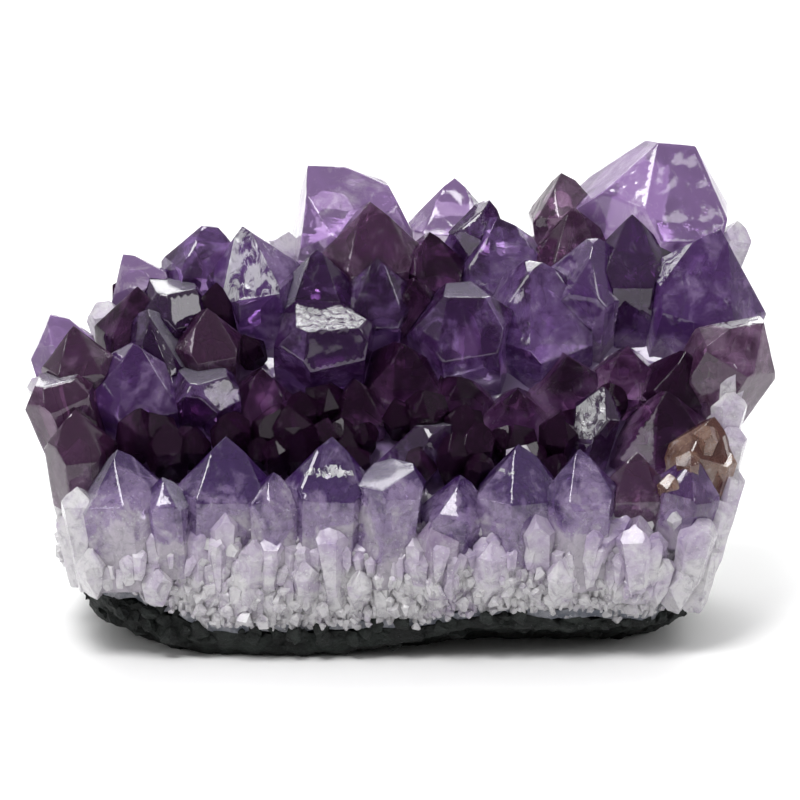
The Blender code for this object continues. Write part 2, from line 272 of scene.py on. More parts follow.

# %% [markdown]
# ## Veils, and the grain of milky quartz, with painted shade and glints
#
# Veils thin out towards the tip, where the quartz grew slowly and clear. The grain is strongest at
# the root: painted shade in dim spots, where light is lost between crystals too small to see, and
# painted glints in bright specks, where one of them would mirror it; it also roughens the bump.
# Veils and grain are noise, mixed over the colour of growth.

# %% Add veils, grain, painted shade and painted glints
VEIL_WHITE = (0.86, 0.82, 0.90, 1)
# painted shade for the dim spots of the grain, and painted glint white for its bright specks
PAINTED_GRAIN_SHADE = (0.30, 0.26, 0.34, 1)
PAINTED_GLINT_WHITE = (0.98, 0.98, 1.0, 1)
veil = maths(tree, "MULTIPLY", ramp(tree, wisp, 0.56, 0.72), entry.outputs["Veils"])
veil = maths(tree, "MULTIPLY", veil, maths(tree, "SUBTRACT", 1.2, level), clamp=True)
colour = mix_colour(tree, veil, colour, VEIL_WHITE)
grit = speckle(tree, place, 430.0, 9.0, 0.72, 0.6)
glint_cells = cells(tree, place, 900.0)
rootward = ramp(tree, maths(tree, "SUBTRACT", 1.0, grown), 0.10, 0.80)
grain = maths(tree, "MULTIPLY", entry.outputs["Grain"], rootward)
# painted shade: dim spots of the grain darken the colour towards the root
painted_shade = maths(tree, "MULTIPLY", grain, maths(tree, "SUBTRACT", 1.0, ramp(tree, grit, 0.28, 0.58)))
colour = mix_colour(tree, maths(tree, "MULTIPLY", painted_shade, 0.75), colour, PAINTED_GRAIN_SHADE)
# painted glints: bright specks of the grain whiten the colour
painted_glint = maths(tree, "MULTIPLY", grain, ramp(tree, grit, 0.60, 0.70))
painted_sparks = maths(tree, "MULTIPLY", grain, maths(tree, "LESS_THAN", glint_cells, 0.16))
colour = mix_colour(tree, maths(tree, "ADD", painted_glint, painted_sparks, clamp=True), colour, PAINTED_GLINT_WHITE)
print(len(growth_group.nodes), "nodes with veils and grain")

# %% [markdown]
# ## Painted reflections and broken faces
#
# A face with a painted reflection is greyed, as if it mirrored the bright side of the room, and made
# less glossy. A broken face is full of thin flakes that send back white light, with darker gaps
# between them. The same masks that colour them roughen the gloss and lift the bump, so that colour,
# gloss and relief stay together.

# %% Add the painted reflection and the flakes, and put out gloss and relief
# painted reflection: a grey for faces that would mirror the bright side of the room
PAINTED_REFLECTION_GREY = (0.62, 0.60, 0.70, 1)
FLAKE_WHITE = (0.95, 0.95, 0.98, 1)
cracks = cells(tree, place, 480.0)
shatter = maths(tree, "MULTIPLY", broken, ramp(tree, wisp, 0.42, 0.56), clamp=True)
# painted reflection: the marked face is greyed as if it mirrored the bright side
colour = mix_colour(tree, maths(tree, "MULTIPLY", painted_reflection, 0.62), colour, PAINTED_REFLECTION_GREY)
colour = mix_colour(tree, shatter, colour, FLAKE_WHITE)
tree.links.new(colour, leave.inputs["Color"])
rough = maths(tree, "ADD", 0.04, maths(tree, "MULTIPLY", veil, 0.2))
rough = maths(tree, "ADD", rough, maths(tree, "MULTIPLY", painted_reflection, 0.12))
rough = maths(tree, "ADD", rough, maths(tree, "MULTIPLY", broken, 0.05))
tree.links.new(rough, leave.inputs["Roughness"])
steps = add(tree, "ShaderNodeTexNoise", {"Vector": place, "Scale": 700.0, "Detail": 4.0}).outputs[0]
gritty = maths(tree, "MULTIPLY", grit, maths(tree, "MULTIPLY", grain, 2.4))
crush = maths(tree, "MULTIPLY", cracks, maths(tree, "MULTIPLY", shatter, 6.0))
height = maths(tree, "ADD", maths(tree, "MULTIPLY", steps, 0.35), gritty)
tree.links.new(maths(tree, "ADD", height, crush), leave.inputs["Height"])
print(len(growth_group.nodes), "nodes in the growth group")

# %% [markdown]
# ## Eight kinds of quartz
#
# In one cluster the crystals differ: deep violet in the wall; near black in the pocket, which is
# partly the crystals' own deeper violet and partly painted shade, since light hardly gets in there;
# wine-tinted where there is iron, pale at the rim, milky in the bed. The optics are the same for all:
# light is bent and mostly let through, and cloudiness takes the rest. So one function makes them,
# and only the three growth colours and a few amounts change. The pocket kind mirrors less, for its
# faces are finely etched.

# %% The quartz finishes
def quartz_finish(
    name, root, middle, tip, veils, clouds, clear, bump, grain=0.3, bend=1.54, mirror=0.5, coat=0.15
):
    """A glassy finish: the growth group in front of a Principled shader that bends light."""
    finish = bpy.data.materials.new(name)
    finish.use_nodes = True
    tree = finish.node_tree
    shader = tree.nodes["Principled BSDF"]
    grown = add(tree, "ShaderNodeGroup", node_tree=growth_group)
    for label, value in (("Root", root), ("Middle", middle), ("Tip", tip)):
        grown.inputs[label].default_value = (*value, 1)
    for label, value in (("Veils", veils), ("Clouds", clouds), ("Grain", grain)):
        grown.inputs[label].default_value = value
    relief = {"Height": grown.outputs["Height"], "Strength": bump, "Distance": 0.3 * MM}
    bumps = add(tree, "ShaderNodeBump", relief)
    tree.links.new(grown.outputs["Color"], shader.inputs["Base Color"])
    tree.links.new(grown.outputs["Roughness"], shader.inputs["Roughness"])
    tree.links.new(bumps.outputs[0], shader.inputs["Normal"])
    shader.inputs["IOR"].default_value = bend
    shader.inputs["Transmission Weight"].default_value = clear
    shader.inputs["Specular IOR Level"].default_value = mirror
    shader.inputs["Coat Weight"].default_value = coat
    shader.inputs["Coat Roughness"].default_value = 0.05
    return finish


# each has its root, middle and tip colours first
deep = quartz_finish(
    "deep_violet", (0.60, 0.45, 0.74), (0.27, 0.14, 0.41), (0.065, 0.018, 0.10),
    veils=0.7, clouds=1.3, clear=0.70, bump=0.10,
)
# dark violet: partly the crystals' own deeper colour, partly painted shade where light hardly gets in
dark = quartz_finish(
    "dark_and_shaded_violet", (0.40, 0.22, 0.42), (0.15, 0.05, 0.16), (0.045, 0.012, 0.045),
    veils=0.3, clouds=1.1, clear=0.72, bump=0.10, bend=1.38, mirror=0.03, coat=0.0,
)
lilac = quartz_finish(
    "clear_lilac", (0.76, 0.65, 0.83), (0.40, 0.26, 0.54), (0.13, 0.05, 0.22),
    veils=0.9, clouds=1.3, clear=0.64, bump=0.10,
)
zoned = quartz_finish(
    "zoned_violet", (0.87, 0.80, 0.90), (0.47, 0.34, 0.62), (0.085, 0.03, 0.18),
    veils=0.9, clouds=1.3, clear=0.66, bump=0.12, grain=0.8,
)
pale = quartz_finish(
    "pale_lilac", (0.85, 0.80, 0.88), (0.60, 0.48, 0.68), (0.33, 0.19, 0.45),
    veils=0.9, clouds=1.2, clear=0.58, bump=0.12, grain=0.5,
)
wine = quartz_finish(
    "smoky_wine", (0.66, 0.50, 0.62), (0.30, 0.16, 0.30), (0.10, 0.032, 0.095),
    veils=0.6, clouds=1.3, clear=0.68, bump=0.10,
)
rusty = quartz_finish(
    "rusty_quartz", (0.66, 0.52, 0.46), (0.38, 0.22, 0.16), (0.16, 0.06, 0.05),
    veils=0.6, clouds=1.3, clear=0.55, bump=0.15, grain=0.6,
)
milky = quartz_finish(
    "milky_quartz", (1.00, 0.98, 1.00), (0.80, 0.70, 0.88), (0.48, 0.34, 0.64),
    veils=0.9, clouds=1.0, clear=0.46, bump=0.40, grain=0.9,
)
print("finishes:", [finish.name for finish in (deep, dark, lilac, zoned, pale, wine, rusty, milky)])

# %% [markdown]
# ## The points
#
# Each crystal face is nearly flat, but not quite: it grew in low hillocks and steps, so a
# reflection breaks up a little as it crosses the face. Flat polygons would look like cut glass.
# The faces are split to about a millimetre and moved by a soft noise; the edges get a narrow
# chamfer, which is where a real crystal catches light.

# %% What sets some points apart
def named(wall=(), pocket=(), front=()):
    """The names of the points with those numbers."""
    groups = (("wall", wall), ("pocket", pocket), ("front", front))
    return {f"{place}_point_{number:02d}" for place, numbers in groups for number in numbers}


PALE_POINTS = named(wall=(3, 6, 13, 14, 25), front=(7, 11))
WINE_POINTS = named(wall=(2, 12, 19, 20, 27), pocket=(2, 4, 12, 17))
RUSTY_POINTS = named(pocket=(15,))
LILAC_POINTS = named(wall=(1, 9, 23, 26), pocket=(16,))
# these points take the dark finish, whose colours are partly painted shade
DARK_SHADED_POINTS = named(wall=(5, 16, 28), pocket=(1, 5, 6, 8, 9, 11, 13, 14, 18))

# Faces with a painted grey reflection, or broken and bright: how far they swing right, and nod
# forward. Where two heights follow, only the strip between them is broken.
PAINTED_REFLECTION_FACES = {
    "front_point_01": (-70, 15), "front_point_02": (50, 40), "front_point_06": (-12, 30),
    "pocket_point_03": (-2, 22), "pocket_point_07": (0, 30), "pocket_point_17": (-12, 22),
    "wall_point_04": (60, 30), "wall_point_07": (4, 22), "wall_point_10": (-60, 30),
    "wall_point_18": (40, 30), "wall_point_22": (2, 18), "wall_point_23": (-17, 30),
}
BROKEN_FACES = {
    "wall_point_09": (-10, 55), "wall_point_11": (4, 30, 62, 70), "wall_point_14": (30, 20),
    "wall_point_26": (-30, 30), "wall_point_27": (-6, 20), "pocket_point_10": (-50, 60),
    "front_point_05": (0, 50, 36.2, 38.0), "front_point_09": (0, 50, 36.8, 37.4),
}


def leaning(swing, nod):
    """Straight up the face, swung to the right and nodded to the viewer."""
    swing, nod = math.radians(swing), math.radians(nod)
    sideways = Vector((math.sin(swing) * math.cos(nod), 0, 0))
    return sideways + UPRIGHT * math.cos(swing) * math.cos(nod) - INTO * math.sin(nod)


def mark_face(bm, layer, direction):
    """Marks the face that looks most nearly that way."""
    if direction:
        wanted = leaning(*direction[:2])
        wide = [face for face in bm.faces if face.calc_area() > 4e-6]
        max(wide, key=lambda face: face.normal.dot(wanted))[layer] = 1.0


print(len(PAINTED_REFLECTION_FACES), "frosted and", len(BROKEN_FACES), "broken faces")

# %% [markdown]
# ## Shaping a point
#
# The function takes a clean copy of one solid, chamfers its edges, splits its faces and lifts them
# by the noise. On the way it writes what the finish reads: how grown the crystal is at each place,
# how much colour each sector took up, and which face gets a painted reflection or is broken. Crystals
# take colour by sector, one per face, which is why neighbouring faces differ in depth.

# %% Shape and colour every point
CHAMFER = 0.12
FACE_DETAIL = 1.3
HILL_HEIGHT = 0.08
FLAKE_DEPTH = 0.5
OTHER_FINISHES = (
    (PALE_POINTS, pale),
    (LILAC_POINTS, lilac),
    (WINE_POINTS, wine),
    (RUSTY_POINTS, rusty),
    (DARK_SHADED_POINTS, dark),
)


def grow_of(name, place):
    """How grown the crystal is there: 0 at the root, 1 under the tip."""
    if name.startswith("front"):
        return smooth(up_face(place) + 5 * noise.noise(place / (7 * MM)), 8, 44)
    away = bed_tree.find_nearest(place)[3] / MM
    return smooth(away, -2, 10)


def shape_point(name):
    """Makes the piece that stands for one solid crystal, and says how many faces it has."""
    chance = random.Random(name)
    bm = skin_of(name)
    bmesh.ops.remove_doubles(bm, verts=bm.verts[:], dist=0.15 * MM)
    bmesh.ops.dissolve_limit(bm, angle_limit=math.radians(1), verts=bm.verts[:], edges=bm.edges[:])
    bm.normal_update()
    for vert in bm.verts:
        vert.co += vert.normal * vert.calc_shell_factor() * CHAMFER * MM
    labels = ("sector", "painted_reflection", "broken")
    sector, painted_reflection, broken = (bm.faces.layers.float.new(label) for label in labels)
    contrast = 0.4 if name.startswith("front") else 1.0
    for face in bm.faces:
        face[sector] = chance.uniform(-contrast, contrast)
    # painted reflection: one listed face is marked to be greyed as if it mirrored the bright side
    mark_face(bm, painted_reflection, PAINTED_REFLECTION_FACES.get(name))
    mark_face(bm, broken, BROKEN_FACES.get(name))
    chamfer(bm, CHAMFER)
    refine(bm, FACE_DETAIL)
    bm.normal_update()
    shift = Vector((chance.uniform(0, 50), 0, 0))
    bottom, top = BROKEN_FACES.get(name, ())[2:] or (0, 200)
    for face in bm.faces:
        middle = face.calc_center_median()
        if not bottom < up_face(middle) + noise.noise(middle / (3 * MM)) < top:
            face[broken] = 0.0
    for vert in bm.verts:
        hill = noise.noise(vert.co / (4.5 * MM) + shift)
        hill += 0.5 * noise.noise(vert.co / (1.9 * MM) - shift)
        crumple = all(face[broken] for face in vert.link_faces) * noise.noise(vert.co / (1.3 * MM))
        vert.co += vert.normal * (hill * HILL_HEIGHT + crumple * FLAKE_DEPTH) * MM
    grown = bm.verts.layers.float.new("growth")
    lift = chance.uniform(-0.18, 0.10)
    for vert in bm.verts:
        vert[grown] = min(1.0, max(0.0, grow_of(name, vert.co) + lift))
    finish = zoned if name.startswith("front") else deep
    for group, other in OTHER_FINISHES:
        finish = other if name in group else finish
    piece = piece_from(bm, f"{name}_crystal", finish, corner=14)
    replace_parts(piece, name)
    return len(piece.data.polygons)


faces = sum(shape_point(name) for name in points)
print(faces, "faces on", len(points), "crystals")

# %% [markdown]
# ## Small crystals, cleaved
#
# Between the large points stand hundreds of small ones that no solid stands for. A crystal is the
# space between its faces, so each is cleaved from a block: six steep sides, then six slanting
# faces that meet near the tip. Every plane is off by a little, so no two crystals come out alike.

# %% Cleave a crystal
TIP_SLOPE = math.radians(51.8)


def cleave(bm, place, normal):
    """Splits the block along a plane, and closes the new face."""
    everything = bm.verts[:] + bm.edges[:] + bm.faces[:]
    cut = bmesh.ops.bisect_plane(
        bm, geom=everything, dist=1e-7, plane_co=place, plane_no=normal, clear_outer=True
    )
    rim = [item for item in cut["geom_cut"] if isinstance(item, bmesh.types.BMEdge)]
    if rim:
        bmesh.ops.contextual_create(bm, geom=rim)


def azimuth(turn):
    """The level direction at that turn."""
    return Vector((math.cos(turn), math.sin(turn), 0))


def small_crystal(width, length, chance, flare=0.0, ragged=0.0):
    """A crystal with its root at the origin and its tip on +Z, in millimetres. It may flare."""
    bm = bmesh.new()
    bmesh.ops.create_cube(bm, size=1)
    bmesh.ops.scale(bm, vec=(2.4 * width, 2.4 * width, length * 1.6), verts=bm.verts[:])
    bmesh.ops.translate(bm, vec=(0, 0, length * 0.8), verts=bm.verts[:])
    roll = chance.uniform(0, math.pi / 3)
    for side in range(6):
        out = azimuth(roll + side * math.pi / 3)
        taper = math.radians(3 - flare * chance.uniform(0.6, 1.2))
        face = out * math.cos(taper) + Vector((0, 0, math.sin(taper)))
        spot = out * width / 2 * chance.uniform(0.8, 1.1) + Vector((0, 0, length * 0.7))
        cleave(bm, spot, face)
        drop = width * (chance.uniform(0.05, 0.35) if side % 2 else chance.uniform(-0.08, 0.08))
        face = out * math.sin(TIP_SLOPE) + Vector((0, 0, math.cos(TIP_SLOPE)))
        cleave(bm, Vector((0, 0, length + drop)), face)
    for side in range(3):
        out = azimuth(roll + side * 2 * math.pi / 3)
        cleave(bm, out * width * 0.12, (out - Vector((0, 0, 0.5))).normalized())
    for _ in range(round(2 * ragged)):
        out = azimuth(chance.uniform(0, 2 * math.pi))
        face = (out * chance.uniform(0.3, 1.0) + Vector((0, 0, 1))).normalized()
        cleave(bm, Vector((0, 0, length - width * chance.uniform(0.0, 0.4))), face)
    bmesh.ops.scale(bm, vec=(MM, MM, MM), verts=bm.verts[:])
    return bm


sample = small_crystal(4, 12, random.Random(1))
print("a small crystal has", len(sample.faces), "faces")
sample.free()

# %% [markdown]
# ## One tree that grows crystals on a surface
#
# Druse is a crust of crystals that started everywhere at once. The tree scatters roots on a host
# surface, no two closer than the spacing, and stands a crystal on each: partly along the surface
# normal, partly towards a common direction, with some spread. It serves columns, grains and the
# dark fillers in the pocket, each with its own host and settings.

# %% The scatter tree
scatter = bpy.data.node_groups.new("grow_crystals", "GeometryNodeTree")
scatter.interface.new_socket("Geometry", in_out="INPUT", socket_type="NodeSocketGeometry")
for label, kind in (
    ("Crystals", "Collection"),
    ("Finish", "Material"),
    ("Spacing", "Float"),
    ("Density", "Float"),
    ("Towards", "Vector"),
    ("Along Normal", "Float"),
    ("Spread", "Float"),
    ("Smallest", "Float"),
    ("Largest", "Float"),
    ("Seed", "Int"),
):
    scatter.interface.new_socket(label, in_out="INPUT", socket_type=f"NodeSocket{kind}")
scatter.interface.new_socket("Geometry", in_out="OUTPUT", socket_type="NodeSocketGeometry")
given = scatter.nodes.new("NodeGroupInput").outputs
seed = given["Seed"]
ground = {0: given["Geometry"], "Seed": seed}
ground |= {"Distance Min": given["Spacing"], "Density Max": given["Density"]}
roots = add(scatter, "GeometryNodeDistributePointsOnFaces", ground, distribute_method="POISSON")
outward = {0: roots.outputs["Normal"], "Scale": given["Along Normal"]}
outward = add(scatter, "ShaderNodeVectorMath", outward, operation="SCALE")
stray = {0: (-1, -1, -1), 1: (1, 1, 1), "Seed": seed}
stray = add(scatter, "FunctionNodeRandomValue", stray, data_type="FLOAT_VECTOR")
stray = {0: stray.outputs[0], "Scale": given["Spread"]}
stray = add(scatter, "ShaderNodeVectorMath", stray, operation="SCALE")
course = {0: outward.outputs[0], 1: given["Towards"]}
course = add(scatter, "ShaderNodeVectorMath", course, operation="ADD")
course = {0: course.outputs[0], 1: stray.outputs[0]}
course = add(scatter, "ShaderNodeVectorMath", course, operation="ADD")
aim = add(scatter, "FunctionNodeAlignRotationToVector", {"Vector": course.outputs[0]}, axis="Z")
turn = {2: 0.0, 3: 2 * math.pi, "Seed": seed}
turn = add(scatter, "FunctionNodeRandomValue", turn, data_type="FLOAT")
turn = {"Axis": (0, 0, 1), "Angle": turn.outputs[1]}
turn = add(scatter, "FunctionNodeAxisAngleToRotation", turn)
aim = {0: aim.outputs[0], 1: turn.outputs[0]}
aim = add(scatter, "FunctionNodeRotateRotation", aim, rotation_space="LOCAL")
stock = {"Collection": given["Crystals"], "Separate Children": True, "Reset Children": True}
stock = add(scatter, "GeometryNodeCollectionInfo", stock)
size = {2: given["Smallest"], 3: given["Largest"], "Seed": seed}
size = add(scatter, "FunctionNodeRandomValue", size, data_type="FLOAT")
stand = {"Points": roots.outputs["Points"], "Instance": stock.outputs[0], "Pick Instance": True}
stand |= {"Rotation": aim.outputs[0], "Scale": size.outputs[1]}
stand = add(scatter, "GeometryNodeInstanceOnPoints", stand)
real = add(scatter, "GeometryNodeRealizeInstances", {0: stand.outputs[0]})
painted = {"Geometry": real.outputs[0], "Material": given["Finish"]}
painted = add(scatter, "GeometryNodeSetMaterial", painted)
scatter.links.new(painted.outputs[0], scatter.nodes.new("NodeGroupOutput").inputs[0])
sockets = scatter.interface.items_tree
identifiers = {item.name: item.identifier for item in sockets if item.in_out == "INPUT"}
print("tree inputs:", list(identifiers))

# %% [markdown]
# ## Stock, and the way to use the tree
#
# A few dozen cleaved crystals, one millimetre wide, are enough for hundreds: size and turn do the
# rest. Columns are long and taper down, studs are stout, needles and grains are ragged. The last
# function runs the tree on a host, turns the result into a plain mesh and lets it weather a
# little, since quartz out of a broken bed has no straight edges left.

# %% Stock to pick from, and the way to use the tree
def stock_of(name, count, length, flare, ragged):
    """A collection of crystals one millimetre wide, to be picked from by the tree."""
    stock = bpy.data.collections.new(name)
    for index in range(count):
        chance = random.Random(f"{name} {index}")
        bm = small_crystal(1.0, length * chance.uniform(0.8, 1.25), chance, flare, ragged)
        mesh = bpy.data.meshes.new(f"{name}_{index}")
        bm.to_mesh(mesh)
        bm.free()
        stock.objects.link(bpy.data.objects.new(f"{name}_{index}", mesh))
    return stock


def weather(mesh, longest, depth):
    """Splits the faces of grown crystals and makes them a little lumpy."""
    bm = bmesh.new()
    bm.from_mesh(mesh)
    refine(bm, longest, 3)
    bm.normal_update()
    for vert in bm.verts:
        lump = noise.noise(vert.co / (1.7 * MM)) + 0.6 * noise.noise(vert.co / (0.8 * MM))
        vert.co += vert.normal * lump * depth * MM
        vert.co.z = max(0.0, vert.co.z)
    bm.to_mesh(mesh)
    bm.free()
    mesh.validate()
    mesh.shade_smooth()
    mesh.set_sharp_from_angle(angle=math.radians(22))


def grow_crystals(name, host, slot, growth, lumpy=None, **settings):
    """Runs the tree on the host mesh, and makes a plain piece of what grows."""
    piece = bpy.data.objects.new(name, host)
    bpy.context.scene.collection.objects.link(piece)
    modifier = piece.modifiers.new("grow", "NODES")
    modifier.node_group = scatter
    for label, value in settings.items():
        modifier[identifiers[label.replace("_", " ").title()]] = value
    graph = bpy.context.evaluated_depsgraph_get()
    mesh = bpy.data.meshes.new_from_object(piece.evaluated_get(graph))
    piece.modifiers.clear()
    piece.data = mesh
    mesh.name = name
    mesh.shade_flat()
    if lumpy:
        weather(mesh, *lumpy)
    if not mesh.materials:
        mesh.materials.append(settings["finish"])
    grown = mesh.attributes.new("growth", "FLOAT", "POINT")
    grown.data.foreach_set("value", [growth(vert.co) for vert in mesh.vertices])
    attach(piece, "root")
    print(name, len(mesh.polygons), "faces")
    return piece


COLUMNS = stock_of("columns", 12, 2.6, flare=9, ragged=0.4)
STUDS = stock_of("studs", 8, 1.6, flare=4, ragged=0.2)
NEEDLES = stock_of("needles", 8, 2.3, flare=8, ragged=0.7)
GRAINS = stock_of("grains", 8, 1.1, flare=6, ragged=1.0)
print(len(bpy.data.collections), "stocks")

# %% [markdown]
# ## A skirt of columns
#
# Below the large points, the broken front of the bed shows the columns that the points grew out
# of. They lean on whatever stands behind them. So their host is a cloth laid over the front, like
# a sheet held up against it: a grid of rays goes straight back until it meets a solid.

# %% Lay a cloth over the front
def tree_of(names):
    """One search tree for several solids."""
    together = bmesh.new()
    for name in names:
        together.from_mesh(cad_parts[name].data)
    tree = BVHTree.FromBMesh(together)
    together.free()
    return tree


solid_tree = tree_of(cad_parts)
front_tree = tree_of([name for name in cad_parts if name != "volcanic_rind"])
outer_layers = ["volcanic_rind", "chalcedony_band"]
quartz_tree = tree_of([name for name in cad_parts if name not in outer_layers])


def cloth(name, spot_range, step, onto=quartz_tree):
    """A grid over that part of the face, (left, right, bottom, top), laid on what it meets."""
    left, right, bottom, top = spot_range
    bm = bmesh.new()
    rows = []
    for row in range(round((top - bottom) / step) + 1):
        line = []
        for column in range(round((right - left) / step) + 1):
            across, up = left + column * step, bottom + row * step
            hit = solid_tree.ray_cast(on_face(across, up, -40), INTO)[0]
            near = hit is not None and onto.find_nearest(hit)[3] < 0.1 * MM
            line.append(bm.verts.new(hit - INTO * 0.3 * MM) if near else None)
        rows.append(line)
    for lower, upper in zip(rows, rows[1:]):
        for corner in zip(lower, lower[1:], upper[1:], upper):
            if all(corner) and max((a.co - corner[0].co).length for a in corner) < 5 * step * MM:
                bm.faces.new(corner)
    bmesh.ops.delete(bm, geom=[vert for vert in bm.verts if not vert.link_faces], context="VERTS")
    mesh = bpy.data.meshes.new(name)
    bm.to_mesh(mesh)
    bm.free()
    print(name, len(mesh.polygons), "squares")
    return mesh


def front_growth(place):
    """How grown the front is there: more up the face, and less at either side."""
    middle = 1 - smooth(abs(place.x) / MM, 56, 62)
    return smooth(up_face(place), 3, 38) * (0.30 + 0.55 * middle)


grow_crystals(
    "front_columns", cloth("columns_cloth", (-67, 63, 7, 14), 1.5), "quartz", front_growth,
    lumpy=(1.6, 0.22), crystals=COLUMNS, finish=milky, spacing=3.0 * MM, density=2.6e5,
    towards=UPRIGHT, along_normal=0.16, spread=0.13, smallest=2.8, largest=6.4, seed=3,
)
grow_crystals(
    "front_slivers", cloth("slivers_cloth", (-68, 64, 6, 18), 1.5), "quartz", front_growth,
    lumpy=(1.2, 0.15), crystals=COLUMNS, finish=milky, spacing=2.1 * MM, density=4.0e5,
    towards=UPRIGHT, along_normal=0.2, spread=0.22, smallest=1.5, largest=3.4, seed=5,
)
grains_cloth = cloth("grains_cloth", (-70, 66, 5, 14), 1.0, front_tree)
grow_crystals(
    "front_grains", grains_cloth, "quartz", front_growth,
    crystals=NEEDLES, finish=milky, spacing=1.0 * MM, density=1.6e6,
    towards=UPRIGHT, along_normal=0.25, spread=0.32, smallest=0.9, largest=2.1, seed=7,
)
lip_cloth = cloth("lip_cloth", (-70, 66, 2, 10), 0.8, tree_of(["chalcedony_band"]))
grow_crystals(
    "lip_grains", lip_cloth, "quartz", front_growth,
    crystals=GRAINS, finish=milky, spacing=1.0 * MM, density=1.2e6,
    towards=UPRIGHT * 0.5, along_normal=0.4, spread=0.6, smallest=0.9, largest=2.0, seed=8,
)

# %% [markdown]
# ## The middle-sized crystals
#
# Some crystals are too small to be solids of the part and too large to be left to chance: pale
# shafts in front of the row, and stubs along the rim. Each is placed with its tip where it
# belongs: across, up and into the stone, then width, length, swing to the right and nod forward.

# %% Crystals placed one by one
SHAFTS = [
    (26.5, 29.8, -8, 7, 18, -6, 20), (41, 28, -7, 6, 17, 5, 20), (60, 29, -4, 8, 17, 12, 16),
    (-63.6, 35, -2, 7.5, 22, -3, 10), (-61, 22.6, -5, 6.5, 11, -4, 20), (-48.6, 19, -7, 7, 9, -5, 24),
    (-35, 30.8, -6, 6.5, 20, -2, 16), (19, 25, -8, 8, 15, 3, 22), (-29, 24, -8, 5.5, 14, 4, 22),
    (3.5, 22, -7.5, 6, 12, -3, 24), (32, 20, -8, 6.5, 10, 2, 26), (52, 22, -5, 6.5, 12, 9, 20),
    (-19, 20, -8, 6, 10, -4, 26), (-8, 18, -8, 6, 8, 3, 28), (67, 62, 10, 6, 16, 8, 8),
    (66, 54, 8, 6.5, 16, 8, 6), (66, 47, 6, 6, 16, 8, 8), (65.5, 40, 6, 6.5, 16, 8, 4),
    (63, 33, 3, 7, 18, 8, 6), (60.5, 26, 2, 7, 17, 8, 6), (55.5, 20, -2, 7, 11, 4, 14),
    (-65.5, 44, 6, 6.5, 18, -8, 6), (-65, 31, 5, 7, 17, -4, 6),
]
STUBS = [
    (-43, 82, 32, 7.5, 20, 8, 15), (-24, 86.6, 38, 9, 18, 10, 0), (68, 88, 34, 7, 20, 15, 5),
    (-73, 58, 14, 6.5, 16, -30, 5), (-60, 72, 24, 6.5, 16, -10, 5), (24.5, 45, 4, 8, 16, 0, 4),
    (-16, 50, 11, 9, 12, 4, 30), (3, 49, 11, 8, 12, -5, 30), (-42, 47, 9, 9, 12, 0, 25),
    (34, 48, 10, 9, 12, 6, 28), (20, 46, 9, 8, 12, -6, 26), (-29, 47, 10, 8, 12, 8, 26),
]
DARK_SHADED_STUBS = 6
RUSTY_STUBS = [
    (61.5, 47, 0, 5.5, 11, 12, 22), (57, 42, -3, 5, 10, -6, 24), (53.5, 37, -5, 4.5, 9, 4, 28),
    (65, 42, 3, 5, 12, 12, 12), (58.5, 35.5, -3, 4.5, 10, 8, 20),
]


def shaft_piece(name, rows, finish, growth):
    """One piece of several crystals, each refined and a little uneven."""
    together = bmesh.new()
    for index, (across, up, into, width, length, swing, nod) in enumerate(rows):
        chance = random.Random(f"{name} {index}")
        bm = small_crystal(width, length, chance, flare=10, ragged=0.3)
        along = leaning(swing, nod)
        turn = along.to_track_quat("Z", "Y").to_matrix().to_4x4()
        root = on_face(across, up, into) - along * length * MM
        bmesh.ops.transform(bm, matrix=Matrix.Translation(root) @ turn, verts=bm.verts[:])
        chamfer(bm, 0.1)
        refine(bm, 1.2)
        bm.normal_update()
        for vert in bm.verts:
            vert.co += vert.normal * noise.noise(vert.co / (2.2 * MM)) * 0.12 * MM
        mesh = bpy.data.meshes.new("shaft")
        bm.to_mesh(mesh)
        bm.free()
        together.from_mesh(mesh)
        bpy.data.meshes.remove(mesh)
    grown = together.verts.layers.float.new("growth")
    for vert in together.verts:
        vert[grown] = growth(vert.co)
    piece = piece_from(together, name, finish, corner=14)
    print(name, len(piece.data.polygons), "faces")


shaft_piece("front_shafts", SHAFTS, milky, front_growth)
shaft_piece("rim_stubs", STUBS[:-DARK_SHADED_STUBS], milky, lambda place: 0.3)
shaft_piece("rusty_stubs", RUSTY_STUBS, rusty, lambda place: 0.55)
# the pocket stubs take the dark finish, partly painted shade
shaft_piece("pocket_stubs", STUBS[-DARK_SHADED_STUBS:], dark, lambda place: 0.6)

# %% [markdown]
# ## The bed, and what grows in the gaps
#
# Where the points stand close, the bed itself is crusted with young crystals as dark as their
# neighbours, and the bed turns violet inside the pocket, more so the closer it is to a point: partly
# the colour of that crust, partly painted shade between the points. Along the broken rim there was
# no shelter: the quartz there is pale and grainy.

# %% Shape the bed
crystal_tree = tree_of(points)
shell_tree = tree_of(outer_layers)


def bed_growth_and_shade(place):
    """How violet the bed is there: only inside the pocket, more so close to a point; partly the crust's
    colour, partly painted shade between the points.
    """
    gap = crystal_tree.find_nearest(place)[3] / MM
    inside = smooth(depth_of(place), 1, 5) * smooth(up_face(place), 18, 26)
    return inside * (1 - smooth(gap, 4, 9)) * smooth(62 - abs(place.x / MM), -3, 3)


bm = skin_of("quartz_bed")
refine(bm, 2.2)
bm.normal_update()
for vert in bm.verts:
    vert.co += vert.normal * (0.45 * noise.noise(vert.co / (3.1 * MM)) + 0.1) * MM
# painted shade: the bed is coloured darker violet close to the points in the pocket
grown = bm.verts.layers.float.new("growth")
for vert in bm.verts:
    vert[grown] = bed_growth_and_shade(vert.co)
bed_host = bm.copy()
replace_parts(piece_from(bm, "bed_core", milky, corner=40), "quartz_bed")


